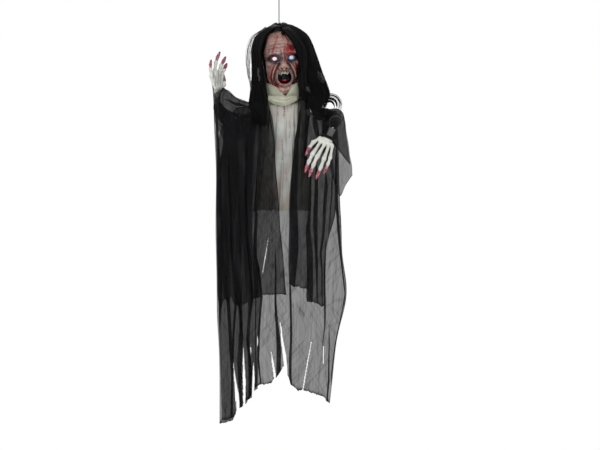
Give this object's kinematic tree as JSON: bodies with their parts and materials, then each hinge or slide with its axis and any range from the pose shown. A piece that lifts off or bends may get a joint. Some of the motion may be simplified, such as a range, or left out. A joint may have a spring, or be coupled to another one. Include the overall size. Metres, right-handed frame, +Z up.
{
  "type": "hanging animated ghost figure",
  "caption": "Hanging ghost figure with a turning ghoul head, long black wig, shirt with collar, black gauze robe, poseable padded arms and bone hands",
  "frame": {"origin": "top of the loop that the hanging cord ends in", "axes": "+Z up along the hanging cord, -Y the way the figure faces, +X its left side"},
  "size_m": [0.3279, 0.1584, 1.0196],
  "materials": {
    "black_cord": "braided",
    "zinc_steel": "zinc plated",
    "black_housing": "moulded",
    "nylon": "natural nylon",
    "circuit": "solder mask",
    "cell_jacket": "plain sleeve",
    "button_red": "moulded",
    "skin_latex": "painted latex",
    "eye_glow": "lit from inside",
    "mouth_black": "painted latex",
    "tooth_ivory": "painted",
    "tongue_red": "painted latex",
    "hair_black": "synthetic hair",
    "bone_paint": "painted bone with dark red finger ends",
    "arm_foam": "foam in a knitted sleeve",
    "collar_cream": "stiffened cotton",
    "shirt_linen": "thin cotton, stained",
    "robe_gauze": "open gauze"
  },
  "bodies": {
    "frame": {"cord_end_loop": "black_cord", "hanging_cord": "black_cord", "hanging_rod": "zinc_steel", "gear_deck": "black_housing", "gear_motor": "zinc_steel", "chest_box_front": "black_housing", "chest_box_back": "black_housing", "battery_tray": "black_housing", "battery_1": "cell_jacket", "battery_2": "cell_jacket", "battery_3": "cell_jacket", "circuit_board": "circuit", "speaker": "black_housing", "sound_sensor": "zinc_steel", "shoulder_yoke": "black_housing", "shoulder_bolt_right": "zinc_steel", "shoulder_bolt_left": "zinc_steel", "shirt_collar": "collar_cream", "cravat": "collar_cream", "shirt_front": "shirt_linen", "shirt_back": "shirt_linen", "robe_front_right": "robe_gauze", "robe_lining_right": "robe_gauze", "robe_front_left": "robe_gauze", "robe_back": "robe_gauze", "sleeve_wing_left": "robe_gauze"},
    "head": {"neck_spindle": "nylon", "head_gear": "nylon", "face_mask": "skin_latex", "head_back_shell": "skin_latex", "eyeball_right": "eye_glow", "eyeball_left": "eye_glow", "eye_led_right": "eye_glow", "eye_led_left": "eye_glow", "mouth_liner": "mouth_black", "upper_teeth": "tooth_ivory", "tongue": "tongue_red", "wig_cap": "hair_black", "hair_right": "hair_black", "hair_left": "hair_black", "hair_back": "hair_black"},
    "pinion": {"drive_pinion": "nylon"},
    "door": {"battery_door": "black_housing"},
    "button": {"try_button": "button_red"},
    "switch": {"power_switch": "black_housing"},
    "arm_right": {"arm_wire_right": "zinc_steel", "arm_padding_right": "arm_foam"},
    "hand_right": {"hand_right": "bone_paint"},
    "arm_left": {"arm_wire_left": "zinc_steel", "arm_padding_left": "arm_foam"},
    "hand_left": {"hand_left": "bone_paint", "wrist_band_left": "robe_gauze"}
  },
  "joints": [
    {"name": "head_turn", "type": "hinge", "parent": "frame", "child": "head", "pos_m": [0.01389, 0, -0.25097], "axis": [-0.0767, 0, 0.9971], "range_deg": [-34, 26], "deforming": ["shirt_collar", "cravat", "hair_right", "hair_left", "hair_back"]},
    {"name": "pinion_spin", "type": "hinge", "parent": "frame", "child": "pinion", "pos_m": [0.03848, 0, -0.28452], "axis": [-0.0767, 0, 0.9971], "range_deg": [-92, 92]},
    {"name": "shoulder_lift_right", "type": "hinge", "parent": "frame", "child": "arm_right", "pos_m": [-0.03305, -0.0053, -0.29269], "axis": [0, 1, 0], "range_deg": [-20, 15], "deforming": ["robe_front_right", "robe_lining_right", "robe_back"]},
    {"name": "wrist_twist_right", "type": "hinge", "parent": "arm_right", "child": "hand_right", "pos_m": [-0.14483, -0.02902, -0.26205], "axis": [0.08, -0.1199, 0.9896], "range_deg": [-40, 40], "deforming": ["robe_front_right", "robe_lining_right"]},
    {"name": "shoulder_lift_left", "type": "hinge", "parent": "frame", "child": "arm_left", "pos_m": [0.06665, -0.0053, -0.28502], "axis": [0, -1, 0], "range_deg": [-20, 15], "deforming": ["robe_front_left", "robe_back", "sleeve_wing_left"]},
    {"name": "wrist_twist_left", "type": "hinge", "parent": "arm_left", "child": "hand_left", "pos_m": [0.12652, -0.04201, -0.32284], "axis": [-0.4212, -0.1605, -0.8926], "range_deg": [-40, 40], "deforming": ["robe_front_left", "sleeve_wing_left"]},
    {"name": "door_slide", "type": "slide", "parent": "frame", "child": "door", "axis": [0.0767, 0, -0.9971], "range_m": [0, 0.03]},
    {"name": "button_press", "type": "slide", "parent": "frame", "child": "button", "axis": [0, -1, 0], "range_m": [0, 0.002], "stiffness_N_per_m": 500, "springref_m": -0.002},
    {"name": "switch_slide", "type": "slide", "parent": "frame", "child": "switch", "axis": [-0.0767, 0, 0.9971], "range_m": [-0.002, 0.002]}
  ],
  "couplings": [
    {"joint": "pinion_spin", "follows": "head_turn", "ratio": -2.6667}
  ]
}
